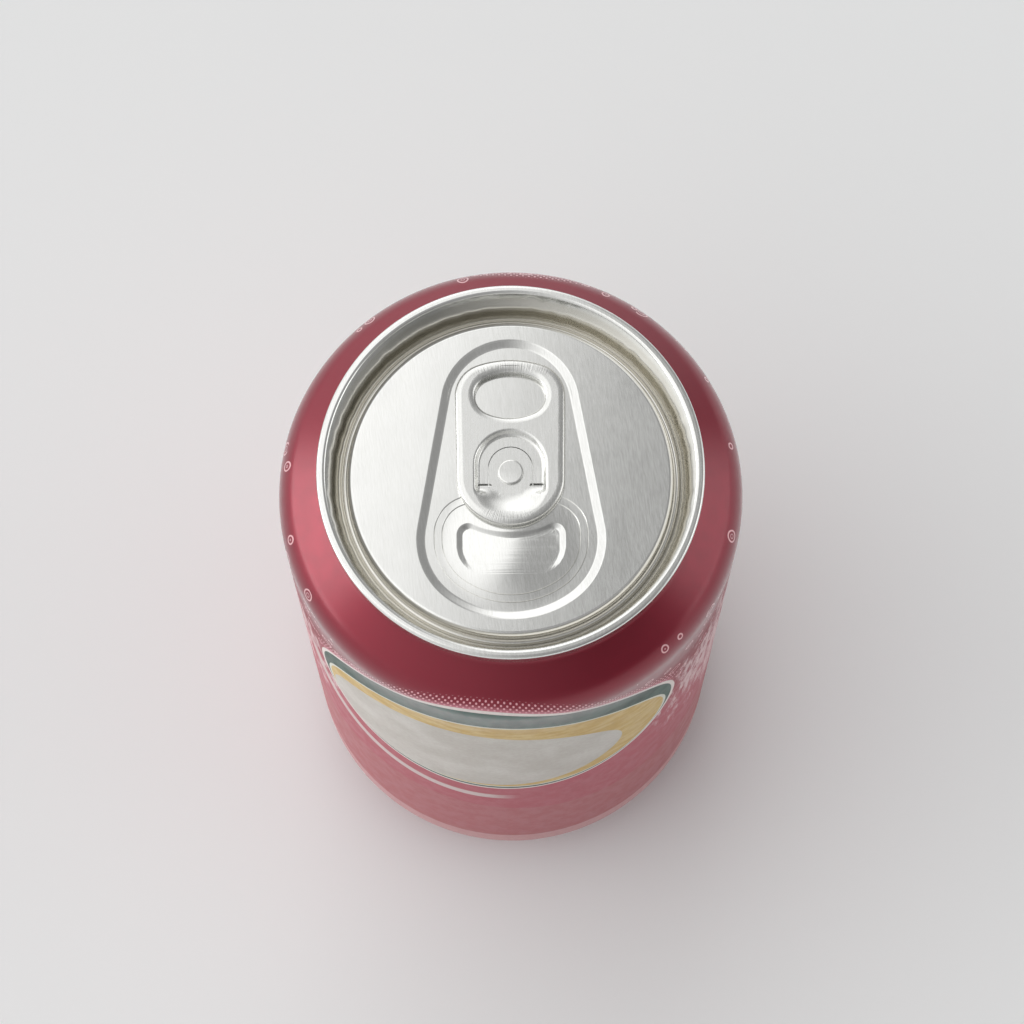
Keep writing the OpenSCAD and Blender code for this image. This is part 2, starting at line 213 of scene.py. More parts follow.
class Workpiece:
    """One mesh on the bench, worked in edit mode in millimetres."""

    def __init__(self, name: str) -> None:
        """Puts an empty mesh on the bench.

        Args:
            name: Name of the object and of its mesh.
        """
        bpy.ops.object.select_all(action="DESELECT")
        bpy.ops.mesh.primitive_plane_add(size=1)
        self.piece = bpy.context.object
        self.piece.name = name
        self.piece.data.name = name
        bpy.ops.object.mode_set(mode="EDIT")
        bpy.ops.mesh.select_mode(type="VERT")
        bpy.ops.mesh.select_all(action="SELECT")
        bpy.ops.mesh.delete(type="VERT")

    @property
    def shape(self) -> bmesh.types.BMesh:
        """Returns the mesh as it stands in edit mode."""
        return bmesh.from_edit_mesh(self.piece.data)

    @property
    def marks(self) -> bmesh.types.BMLayerItem:
        """Returns the layer that holds a number for each point."""
        layers = self.shape.verts.layers.float
        return layers.get("mark") or layers.new("mark")

    def draw(self, strokes: Sequence[Stroke], plane: Plane, height: float = 0.0) -> None:
        """Draws a line through arcs and corners, and leaves its last point selected.

        Args:
            strokes: Arcs and single points, in order. Straight runs join them.
            plane: Plane that the line lies in.
            height: Height of a level line.
        """
        level = plane is Plane.LEVEL
        axis = (0, 0, 1) if level else (0, -1, 0)
        tip = None
        for stroke in strokes:
            arc = stroke if isinstance(stroke, Arc) else None
            a, b = arc.at(arc.start) if arc else stroke
            here = Vector((a, b, height) if level else (a, 0, b))
            if tip is None:
                bpy.ops.mesh.select_all(action="DESELECT")
                bpy.ops.mesh.primitive_plane_add(size=1, location=here)
                bpy.ops.mesh.merge(type="CENTER")
            elif (here - tip).length > JOIN:
                bpy.ops.mesh.extrude_vertices_move(TRANSFORM_OT_translate={"value": here - tip})
            tip = here
            if arc:
                turn = math.radians(arc.finish - arc.start)
                middle = (arc.x, arc.y, height) if level else (arc.x, 0, arc.y)
                steps = max(1, math.ceil(abs(turn) / ARC_STEP))
                bpy.ops.mesh.spin(steps=steps, angle=-turn, center=middle, axis=axis)
                a, b = arc.at(arc.finish)
                tip = Vector((a, b, height) if level else (a, 0, b))

    def plate(self, strokes: Sequence[Stroke], height: float) -> None:
        """Draws a closed level outline and fills it with one face that looks up.

        Args:
            strokes: The outline's arcs and corners.
            height: Height of the outline.
        """
        self.draw(strokes, Plane.LEVEL, height)
        bpy.ops.mesh.select_linked()
        bpy.ops.mesh.remove_doubles(threshold=JOIN)
        bpy.ops.mesh.edge_face_add()
        face = next(face for face in self.shape.faces if face.select)
        face.normal_update()
        if face.normal.z < 0:
            bpy.ops.mesh.flip_normals()

    def ring(self, inset: float, rise: float = 0.0) -> None:
        """Insets the selected face by the width of one ring, and lifts its middle."""
        bpy.ops.mesh.inset(thickness=inset, depth=rise, use_even_offset=True)

    def rings(self, insets: Sequence[float]) -> None:
        """Insets the selected face in steps, and marks each ring's points with its distance in.

        Args:
            insets: Distances from the outline, growing.
        """
        done = 0.0
        for inset in insets:
            self.ring(inset - done)
            done = inset
            self.mark(inset)

    def mark(self, value: float) -> None:
        """Writes a number on the selected points.

        Args:
            value: The number, which press() reads back.
        """
        shape, layer = self.shape, self.marks
        for point in shape.verts:
            if point.select:
                point[layer] = value

    def press(self, height: Callable[[Vector, float], float]) -> None:
        """Moves every marked point of this outline to a new height and clears its mark.

        Args:
            height: Gives the new height from a point's place and its mark.
        """
        shape, layer = self.shape, self.marks
        for point in shape.verts:
            if point[layer] > 0:
                point.co.z = height(point.co, point[layer])
                point[layer] = 0.0
        bmesh.update_edit_mesh(self.piece.data)

    def cross_cuts(self, levels: Sequence[float]) -> None:
        """Cuts the innermost ring's face along lines of equal Y, so that it can be curved.

        Args:
            levels: Where the lines lie.
        """
        shape, layer = self.shape, self.marks
        inner = max(point[layer] for point in shape.verts)
        for level in levels:
            bpy.ops.mesh.select_all(action="DESELECT")
            shape, layer = self.shape, self.marks
            for face in shape.faces:
                if all(point[layer] > inner - JOIN for point in face.verts):
                    face.select_set(True)
            bpy.ops.mesh.bisect(plane_co=(0, level, 0), plane_no=(0, 1, 0))
            self.mark(inner)

    def open_up(self) -> None:
        """Takes the selected face away and leaves its edges."""
        bpy.ops.mesh.delete(type="ONLY_FACE")

    def spin_round(self) -> None:
        """Spins all that is drawn once round the can's axis."""
        bpy.ops.mesh.select_all(action="SELECT")
        bpy.ops.mesh.spin(steps=SPIN_STEPS, angle=math.tau, center=(0, 0, 0), axis=(0, 0, 1))
        bpy.ops.mesh.select_all(action="SELECT")
        bpy.ops.mesh.remove_doubles(threshold=JOIN)

    def fill_level(self, height: float) -> None:
        """Fills the flat region between the open edges that lie at one height.

        Args:
            height: Height of the region.
        """
        bpy.ops.mesh.select_mode(type="EDGE")
        bpy.ops.mesh.select_all(action="DESELECT")
        for edge in self.shape.edges:
            level = all(abs(point.co.z - height) < JOIN for point in edge.verts)
            if level and len(edge.link_faces) < 2:
                edge.select_set(True)
        bpy.ops.mesh.fill(use_beauty=True)
        bpy.ops.mesh.select_mode(type="VERT")

    def take_in(self, other: "Workpiece") -> None:
        """Joins another piece's mesh to this one.

        Args:
            other: The piece that is used up.
        """
        bpy.ops.object.mode_set(mode="OBJECT")
        bpy.ops.object.select_all(action="DESELECT")
        other.piece.select_set(True)
        self.piece.select_set(True)
        bpy.context.view_layer.objects.active = self.piece
        bpy.ops.object.join()
        bpy.ops.object.mode_set(mode="EDIT")
        bpy.ops.mesh.select_mode(type="VERT")

    def close(self) -> None:
        """Merges points that meet and turns every face outward."""
        bpy.ops.mesh.select_all(action="SELECT")
        bpy.ops.mesh.remove_doubles(threshold=JOIN)
        bpy.ops.mesh.normals_make_consistent(inside=False)
        bpy.ops.object.mode_set(mode="OBJECT")

    def cut(self, cutter: "Workpiece") -> None:
        """Cuts another piece's shape out of this one.

        Args:
            cutter: The piece that is used up.
        """
        bpy.context.view_layer.objects.active = self.piece
        modifier = self.piece.modifiers.new("cut", "BOOLEAN")
        modifier.object = cutter.piece
        modifier.operation = "DIFFERENCE"
        modifier.solver = "EXACT"
        bpy.ops.object.modifier_apply(modifier=modifier.name)
        bpy.data.objects.remove(cutter.piece)

    def hold(self) -> None:
        """Takes the piece back into edit mode, with all of it selected."""
        bpy.ops.object.select_all(action="DESELECT")
        self.piece.select_set(True)
        bpy.context.view_layer.objects.active = self.piece
        bpy.ops.object.mode_set(mode="EDIT")
        bpy.ops.mesh.select_all(action="SELECT")

    def clean_cuts(self) -> None:
        """Takes away the slivers that the cuts leave along their edges."""
        self.hold()
        bpy.ops.mesh.remove_doubles(threshold=JOIN)
        bpy.ops.mesh.dissolve_degenerate(threshold=JOIN)
        bpy.ops.object.mode_set(mode="OBJECT")

    def finish(self, sharp: float) -> bpy.types.Object:
        """Shades the piece, brings it to metres and takes it off the bench.

        Args:
            sharp: Angle in degrees past which an edge stays sharp.

        Returns:
            The finished object, at the origin.
        """
        self.hold()
        bpy.ops.transform.resize(value=(MM, MM, MM), center_override=(0, 0, 0))
        bpy.ops.object.mode_set(mode="OBJECT")
        bpy.ops.object.shade_smooth_by_angle(angle=math.radians(sharp))
        mark = self.piece.data.attributes.get("mark")
        if mark:
            self.piece.data.attributes.remove(mark)
        return self.piece


class Value:
    """Output of a node. Plain arithmetic on it adds the nodes that do the sum."""

    def __init__(self, graph: "Graph", socket: bpy.types.NodeSocket) -> None:
        """Keeps an output together with the graph it belongs to."""
        self.graph = graph
        self.socket = socket

    def __add__(self, other: "Value | float") -> "Value":
        """Adds another value."""
        return self.graph.math("ADD", self, other)

    def __sub__(self, other: "Value | float") -> "Value":
        """Takes another value away."""
        return self.graph.math("SUBTRACT", self, other)

    def __rsub__(self, other: float) -> "Value":
        """Takes this value away from a number."""
        return self.graph.math("SUBTRACT", other, self)

    def __mul__(self, other: "Value | float") -> "Value":
        """Multiplies by another value."""
        return self.graph.math("MULTIPLY", self, other)

    def __truediv__(self, other: "Value | float") -> "Value":
        """Divides by another value."""
        return self.graph.math("DIVIDE", self, other)

    def __abs__(self) -> "Value":
        """Returns the value without its sign."""
        return self.graph.math("ABSOLUTE", self)

    def fade(self, start: float, finish: float, low: float = 0.0, high: float = 1.0) -> "Value":
        """Turns the value into a smooth step, low up to the start and high from the finish on."""
        inputs = dict(enumerate((self, start, finish, low, high)))
        return self.graph.add("ShaderNodeMapRange", inputs, interpolation_type="SMOOTHSTEP")

    def band(self, middle: float, half: float, soft: float) -> "Value":
        """Gives 1 within half a band's width of its middle and 0 outside, with soft edges."""
        return abs(self - middle).fade(half - soft / 2, half + soft / 2, 1.0, 0.0)


class Graph:
    """Node tree of a material or of the surroundings, with short calls for the nodes they share."""

    def __init__(self, owner: bpy.types.Material | bpy.types.World) -> None:
        """Empties the owner's tree.

        Args:
            owner: The material or the surroundings.
        """
        owner.use_nodes = True
        self.owner = owner
        self.tree = owner.node_tree
        self.tree.nodes.clear()

    def node(self, kind: str, inputs: dict[str | int, object] | None = None,
             **settings: object) -> bpy.types.Node:
        """Adds a node.

        Args:
            kind: Blender's name of the node's type.
            inputs: Its inputs by name or place: outputs of other nodes, or plain numbers and colours.
            settings: Properties of the node.

        Returns:
            The new node.
        """
        made = self.tree.nodes.new(kind)
        for key, value in settings.items():
            setattr(made, key, value)
        for key, value in (inputs or {}).items():
            if isinstance(value, Value):
                self.tree.links.new(value.socket, made.inputs[key])
            else:
                made.inputs[key].default_value = value
        return made

    def add(self, kind: str, inputs: dict[str | int, object], **settings: object) -> Value:
        """Adds a node as node() does, and returns its first output."""
        return Value(self, self.node(kind, inputs, **settings).outputs[0])

    def math(self, operation: str, *values: Value | float) -> Value:
        """Adds a sum of the kind that Blender calls by this name, and returns its result."""
        return self.add("ShaderNodeMath", dict(enumerate(values)), operation=operation)

    def mix(self, share: Value, one: Value | Colour, two: Value | Colour) -> Value:
        """Mixes two colours, with this share of the second."""
        made = self.node("ShaderNodeMix", {"Factor": share, 6: one, 7: two}, data_type="RGBA")
        return Value(self, made.outputs[2])

    def paint(self, ground: Value, *coats: tuple[Value, Value | Colour]) -> Value:
        """Lays coats of colour one over another.

        Args:
            ground: Colour under them all.
            coats: Strength and colour of each coat, in order.

        Returns:
            The colour that shows.
        """
        for share, colour in coats:
            ground = self.mix(share, ground, colour)
        return ground

    def length(self, x: Value, y: Value) -> Value:
        """Returns the distance that two parts make."""
        return self.math("SQRT", x * x + y * y)

    def place(self) -> Value:
        """Returns the point on the piece, in millimetres."""
        point = Value(self, self.node("ShaderNodeTexCoord").outputs["Object"])
        return self.add("ShaderNodeVectorMath", {0: point, "Scale": 1 / MM}, operation="SCALE")

    def split(self, vector: Value) -> list[Value]:
        """Returns the three parts of a vector."""
        made = self.node("ShaderNodeSeparateXYZ", {0: vector})
        return [Value(self, part) for part in made.outputs]

    def join(self, *parts: Value | float) -> Value:
        """Returns a vector made of three parts."""
        return self.add("ShaderNodeCombineXYZ", dict(enumerate(parts)))

    def noise(self, vector: Value, stretch: Sequence[float], turn: float = 0.0,
              detail: float = 2.0, rough: float = 0.5) -> Value:
        """Adds noise.

        Args:
            vector: Point that is read.
            stretch: How often the noise repeats in a millimetre, along each axis.
            turn: How far the pattern is turned round Z, in degrees.
            detail: Octaves of the noise.
            rough: Weight of the finer octaves.

        Returns:
            The noise, from 0 to 1.
        """
        turned = {"Vector": vector, "Rotation": (0, 0, math.radians(turn)),
                  "Scale": tuple(1 / part for part in stretch)}
        place = self.add("ShaderNodeMapping", turned, vector_type="TEXTURE")
        return self.add("ShaderNodeTexNoise",
                        {"Vector": place, "Scale": 1.0, "Detail": detail, "Roughness": rough})

    def bump(self, height: Value, strength: float, depth: float, under: Value | None = None) -> Value:
        """Adds relief to the surface normal.

        Args:
            height: Height pattern, from 0 to 1.
            strength: How strongly it shows.
            depth: Height of the relief in millimetres.
            under: Relief that it lies on.

        Returns:
            The normal.
        """
        inputs = {"Height": height, "Strength": strength, "Distance": depth * MM}
        if under:
            inputs["Normal"] = under
        return self.add("ShaderNodeBump", inputs)

    def surface(self, **values: object) -> bpy.types.Material:
        """Adds the shader and the output.

        Args:
            values: Inputs of the shader, with _ for a space.

        Returns:
            The finished material.
        """
        inputs = {key.replace("_", " "): value for key, value in values.items()}
        shader = self.add("ShaderNodeBsdfPrincipled", inputs)
        self.node("ShaderNodeOutputMaterial", {"Surface": shader})
        return self.owner


def tint(red: int, green: int, blue: int) -> Colour:
    """Turns a display colour into a scene colour.

    Args:
        red: Red, from 0 to 255.
        green: Green, from 0 to 255.
        blue: Blue, from 0 to 255.

    Returns:
        The colour with full opacity.
    """
    parts = [part / 255 for part in (red, green, blue)]
    linear = [part / 12.92 if part < 0.04045 else ((part + 0.055) / 1.055) ** 2.4 for part in parts]
    return linear[0], linear[1], linear[2], 1.0


@dataclass(frozen=True)
class RolledAluminium:
    """Bare rolled sheet: a fine grain along one direction, slight waves, and painted shade in the recess
    where one is given.
    """

    name: str
    dull: Colour = tint(231, 231, 228)
    bright: Colour = tint(242, 242, 240)
    # Darker, warmer tone painted into the recess as shade.
    recess_shade: Colour = tint(226, 224, 218)
    grain_stretch: Stretch = (6.0, 0.5, 2.0)
    fine_stretch: Stretch = (11.0, 1.2, 4.0)
    wave_stretch: Stretch = (0.22, 0.16, 0.2)
    grain_turn: float = 0.0
    grain_share: float = 0.65
    grain_depth: float = 0.0006
    relief_depth: float = 0.001
    wave_depth: float = 0.005
    rough_low: float = 0.11
    rough_high: float = 0.15
    rough_waves: float = 0.01

    def material(self, relief: Callable[[Value], Value],
                 recess: Callable[[Value], Value] | None = None) -> bpy.types.Material:
        """Builds the material.

        Args:
            relief: Gives the piece's own fine relief at a point in millimetres.
            recess: Gives the strength of the warm tone that the lacquer has in the recess.

        Returns:
            The material.
        """
        graph = Graph(bpy.data.materials.new(self.name))
        point = graph.place()
        grain = graph.noise(point, self.grain_stretch, self.grain_turn, detail=3.0, rough=0.65)
        fine = graph.noise(point, self.fine_stretch, self.grain_turn)
        cloud = graph.noise(point, self.wave_stretch)
        both = grain * self.grain_share + fine * (1 - self.grain_share)
        colour = graph.mix(both.fade(0.3, 0.7), self.dull, self.bright)
        waves = cloud
        if recess:
            sunk = recess(point)
            # Painted shade: the recess takes the darker, warmer tone.
            colour = graph.mix(sunk, colour, self.recess_shade)
            waves = cloud * (1.0 - sunk)
        rough = (both.fade(0.25, 0.75, self.rough_low, self.rough_high)
                 + cloud.fade(0.3, 0.7, -self.rough_waves, self.rough_waves))
        normal = graph.bump(waves, 0.6, self.wave_depth)
        normal = graph.bump(relief(point), 1.0, self.relief_depth, normal)
        normal = graph.bump(both, 0.7, self.grain_depth, normal)
        return graph.surface(Base_Color=colour, Metallic=1.0, Roughness=rough, Normal=normal)


@dataclass(frozen=True)
class Panel:
    """Oval panel of the print, once on each face of the can."""

    across: float = -3.5
    height: float = 85.0
    half_width: float = 29.5
    half_height: float = 26.5
    border: float = 1.5
    crown: float = 6.5
    gold: float = 6.0
    gold_side: float = 4.1
    field_aside: float = -3.4
    field_lift: float = 0.7
    sweep_gap: float = 2.6
    sweep_drop: float = 3.2
    sweep_aside: float = 0.4
    dot_pitch: float = 0.9


@dataclass(frozen=True)
class Inks:
    """Colours of the print."""

    crimson: Colour = tint(138, 19, 44)
    fading: Colour = tint(184, 82, 98)
    rose: Colour = tint(182, 84, 98)
    low_rose: Colour = tint(180, 98, 104)
    foot: Colour = tint(206, 156, 158)
    foot_edge: Colour = tint(150, 30, 56)
    frost: Colour = tint(232, 206, 208)
    sweep: Colour = tint(214, 196, 194)
    glow: Colour = tint(228, 150, 164)
    dots: Colour = tint(240, 178, 188)
    bubbles: Colour = tint(244, 190, 196)
    mottle: Colour = tint(120, 30, 48)
    border: Colour = tint(236, 226, 222)
    edging: Colour = tint(224, 226, 214)
    green_deep: Colour = tint(30, 72, 62)
    green_pale: Colour = tint(52, 94, 84)
    gold_deep: Colour = tint(206, 172, 96)
    gold_pale: Colour = tint(220, 194, 132)
    field_deep: Colour = tint(200, 196, 188)
    field_pale: Colour = tint(213, 210, 203)


@dataclass(frozen=True)
class Spot:
    """Place on the print, in millimetres.

    The distance round the can is measured once from the front panel's middle, as turn, and once
    from the nearer panel's middle, as u. The height is v.
    """

    point: Value
    turn: Value
    u: Value
    v: Value


@dataclass(frozen=True)
class PrintedLacquer:
    """Print under clear lacquer on the drawn body: crimson above, rose below, a bare oval panel."""

    name: str
    body_radius: float
    panel: Panel = Panel()
    inks: Inks = Inks()
    crimson_full: float = 100.0
    crimson_fades: float = 66.0
    rose_top: float = 58.0
    low_rose_top: float = 42.4
    foot_height: float = 13.0
    foot_half: float = 3.0
    sway: float = 2.6
    frost_height: float = 76.0
    frost_reach: tuple[float, float] = (31.0, 37.0)
    bubble_cell: float = 3.8
    bubble_least: float = 0.4
    bubble_most: float = 1.1
    bubble_gap: float = 0.5

    def spot(self, graph: Graph) -> Spot:
        """Measures where a point lies on the print.

        Args:
            graph: Graph of the material.

        Returns:
            The place.
        """
        point = graph.place()
        x, y, v = graph.split(point)
        half_turn = math.pi * self.body_radius
        turn = graph.math("ARCTAN2", x, y * -1.0) * self.body_radius - self.panel.across
        face = graph.math("ROUND", turn / half_turn) * half_turn
        return Spot(point, turn, turn - face, v)

    def oval(self, spot: Spot, drop: float = 0.0, shrink: float = 0.0, squeeze: float = 0.0,
             aside: float = 0.0) -> Value:
        """Measures the distance to an oval that sits in the panel.

        Args:
            spot: Place on the print.
            drop: How far the oval's centre lies below the panel's.
            shrink: How much narrower each half of the oval is.
            squeeze: How much lower each half of the oval is.
            aside: How far the oval's centre lies to the right of the panel's.

        Returns:
            The distance outside the oval, negative within it, in millimetres.
        """
        graph = spot.point.graph
        wide = self.panel.half_width - shrink
        tall = self.panel.half_height - squeeze
        across = (spot.u - aside) / wide
        along = (spot.v - (self.panel.height - drop)) / tall
        grade = graph.length(across / wide, along / tall) * 2.0
        return (across * across + along * along - 1.0) / graph.math("MAXIMUM", grade, 0.01)

    def background(self, spot: Spot) -> Value:
        """Lays the ground colours: crimson, rose, and the pink foot.

        Args:
            spot: Place on the print.

        Returns:
            The colour.
        """
        graph, inks = spot.point.graph, self.inks
        wavy = spot.v + graph.math("SINE", spot.u * (2 / self.body_radius)) * self.sway
        upper = graph.mix(spot.v.fade(self.crimson_fades, self.crimson_full), inks.fading, inks.crimson)
        foot = self.foot_height - self.foot_half
        return graph.paint(
            upper,
            (wavy.fade(self.rose_top, self.rose_top - 1.0), inks.rose),
            (wavy.fade(self.low_rose_top, self.low_rose_top - 0.8), inks.low_rose),
            (spot.v.band(self.foot_height, self.foot_half, 0.6), inks.foot),
            (spot.v.fade(foot + 0.5, foot - 0.5), inks.foot_edge),
        )

    def frost(self, spot: Spot) -> Value:
        """Gives the strength of the icy splash beside the panels.

        Args:
            spot: Place on the print.

        Returns:
            The strength, from 0 to 1.
        """
        graph = spot.point.graph
        wide, tall = self.frost_reach
        middle = math.pi * self.body_radius / 2
        away = graph.length((middle - abs(spot.u)) / wide, (spot.v - self.frost_height) / tall)
        amount = away.fade(1.0, 0.3)
        streaks = graph.noise(spot.point, (0.55, 0.55, 0.14), detail=6.0, rough=0.7)
        return (streaks + amount * 0.2).fade(0.54, 0.74) * amount.fade(0.0, 0.25, 0.0, 0.85)

    def bubbles(self, spot: Spot) -> Value:
        """Scatters thin double rings over the shoulder and the upper side.

        Args:
            spot: Place on the print.

        Returns:
            The rings' strength, from 0 to 1.
        """
        graph = spot.point.graph
        inputs = {"Vector": graph.join(spot.turn, spot.v, 0.0), "Scale": 1 / self.bubble_cell,
                  "Randomness": 0.9}
        cells = graph.node("ShaderNodeTexVoronoi", inputs, feature="F1", voronoi_dimensions="2D")
        away = Value(graph, cells.outputs["Distance"]) * self.bubble_cell
        red, green, _ = graph.split(Value(graph, cells.outputs["Color"]))
        size = red.fade(0, 1, self.bubble_least, self.bubble_most)
        gap = abs(away - size)
        inner = abs(gap - self.bubble_gap).fade(0.04, 0.12, 0.6, 0.0) * graph.math("LESS_THAN", away, size)
        rings = graph.math("MAXIMUM", gap.fade(0.06, 0.16, 1.0, 0.0), inner)
        zone = abs(spot.turn).fade(14, 34) * (spot.v.fade(116, 112) * spot.v.fade(84, 92))
        rare = graph.math("GREATER_THAN", green + zone * 0.55, 1.0)
        return rings * rare * zone.fade(0.0, 0.2)

    def sweep(self, spot: Spot) -> Value:
        """Gives the strength of the pale sweep round the panel's lower left."""
        near = self.oval(spot, self.panel.sweep_drop, -self.panel.sweep_gap,
                         -self.panel.sweep_gap, self.panel.sweep_aside)
        return near.band(1.6, 1.3, 0.5) * spot.u.fade(5.5, -1.5) * spot.v.fade(86.0, 74.0)

    def dots(self, spot: Spot, rim: Value) -> Value:
        """Gives the strength of the fine dots that edge the panel.

        Args:
            spot: Place on the print.
            rim: Distance outside the panel.

        Returns:
            The strength, from 0 to 1.
        """
        graph = spot.point.graph
        beat = math.tau / self.panel.dot_pitch
        dots = graph.math("COSINE", rim * beat) * graph.math("COSINE", spot.u * beat)
        return dots.fade(0.35, 0.6) * (rim.fade(2.7, 2.4) * rim.fade(0.2, 1.4))

    def material(self) -> bpy.types.Material:
        """Builds the material.

        Returns:
            The material.
        """
        graph = Graph(bpy.data.materials.new(self.name))
        spot = self.spot(graph)
        point, v, panel, inks = spot.point, spot.v, self.panel, self.inks
        green = graph.mix(graph.noise(point, (0.2, 0.2, 0.2)).fade(0.3, 0.7),
                          inks.green_deep, inks.green_pale)
        gold = graph.mix(graph.noise(point, (0.25, 0.25, 0.6), detail=4).fade(0.35, 0.65),
                         inks.gold_deep, inks.gold_pale)
        bare = graph.mix(graph.noise(point, (0.12, 0.12, 0.12), detail=3).fade(0.35, 0.7),
                         inks.field_deep, inks.field_pale)
        lower = panel.crown / 2
        rim = self.oval(spot)
        inner = self.oval(spot, lower, panel.border, panel.border + lower)
        lower += panel.gold / 2
        field = self.oval(spot, lower, panel.border + panel.gold_side,
                          panel.border + panel.field_lift + lower, panel.field_aside)
        upper = v.fade(panel.height + 4, panel.height + 14)
        mottle = graph.noise(point, (1.6, 1.6, 1.6), detail=3)
        colour = graph.paint(
            self.background(spot),
            (self.frost(spot), inks.frost),
            (self.sweep(spot), inks.sweep),
            (rim.fade(1.8, 0.5) * upper * 0.75, inks.glow),
            (self.dots(spot, rim) * upper, inks.dots),
            (rim.fade(0.75, 0.6), inks.border),
            (rim.fade(0.06, -0.06), green),
            (inner.fade(0.55, 0.45), inks.edging),
            (inner.fade(0.05, -0.05), gold),
            (field.fade(0.05, -0.05), bare),
            (self.bubbles(spot) * rim.fade(0.6, 0.9), inks.bubbles),
            (mottle.fade(0.3, 0.7, 0.0, 0.1), inks.mottle),
        )
        rough = graph.noise(point, (0.5, 0.5, 0.3), detail=3).fade(0.3, 0.7, 0.34, 0.42)
        normal = graph.bump(graph.noise(point, (0.06, 0.06, 0.04), detail=1), 0.5, 0.12)
        normal = graph.bump(graph.noise(point, (3.0, 3.0, 3.0), detail=3), 0.25, 0.006, normal)
        return graph.surface(Base_Color=colour, Metallic=v.fade(96, 110, 0.12, 0.62), Roughness=rough,
                             Normal=normal, Specular_IOR_Level=0.05, Coat_Weight=v.fade(96, 112, 0.14, 1.0),
                             Coat_Roughness=0.22, Coat_IOR=1.5)


@dataclass
class CanBody:
    """Drawn body: domed base, straight side, rounded shoulder and neck."""

    height: float = 122.2
    side_radius: float = 33.0
    neck_radius: float = 26.2
    seam_height: float = 2.5
    throat_height: float = 0.4
    throat_radius: float = 2.4
    shoulder_radius: float = 7.0
    shoulder_lean: float = 51.0
    ring_outer: float = 24.6
    ring_inner: float = 23.2
    ring_round: float = 0.5
    heel_radius: float = 9.0
    heel_rise: float = 41.0
    dome_height: float = 10.2
    leg_height: float = 3.6
    leg_in: float = 1.1
    inner_height: float = 115.4
    wall_back_low: float = 23.94
    wall_back_high: float = 25.34

    def outline(self) -> list[Stroke]:
        """Works out half the body's outline, from the dome's crown to the hidden top.

        Returns:
            The strokes, in order.
        """
        leg = self.ring_inner - self.leg_in
        rise = self.dome_height - self.leg_height
        dome = (leg ** 2 + rise ** 2) / (2 * rise)
        half = math.degrees(math.asin(leg / dome))
        reach = self.side_radius - self.ring_outer
        heel = math.radians(self.heel_rise)
        heel_in = self.heel_radius * (1 - math.sin(heel))
        heel_z = self.heel_radius * math.cos(heel) + (reach - heel_in) * math.tan(heel)
        seam = self.height - self.seam_height
        throat = seam - self.throat_height
        lean = math.radians(self.shoulder_lean)
        turns = self.shoulder_radius + self.throat_radius
        run = (self.side_radius - self.neck_radius - turns * (1 - math.cos(lean))) / math.tan(lean)
        shoulder = throat - turns * math.sin(lean) - run
        bend = self.ring_round
        return [
            Arc(0, self.dome_height - dome, dome, 90, 90 - half),
            Arc(self.ring_inner + bend, bend, bend, 180, 270),
            Arc(self.ring_outer - bend * math.tan(heel / 2), bend, bend, 270, 270 + self.heel_rise),
            Arc(self.side_radius - self.heel_radius, heel_z, self.heel_radius, self.heel_rise - 90, 0),
            Arc(self.side_radius - self.shoulder_radius, shoulder, self.shoulder_radius,
                0, self.shoulder_lean),
            Arc(self.neck_radius + self.throat_radius, throat, self.throat_radius,
                180 + self.shoulder_lean, 180),
            (self.neck_radius, seam),
            (self.wall_back_high, seam),
            (self.wall_back_low, self.inner_height),
            (0, self.inner_height),
        ]

    def build(self) -> bpy.types.Object:
        """Builds and dresses the body.

        Returns:
            The finished piece.
        """
        work = Workpiece("printed_body")
        work.draw(self.outline(), Plane.UPRIGHT)
        work.spin_round()
        work.close()
        piece = work.finish(sharp=50)
        piece.data.materials.append(PrintedLacquer("printed_lacquer", self.side_radius).material())
        return piece


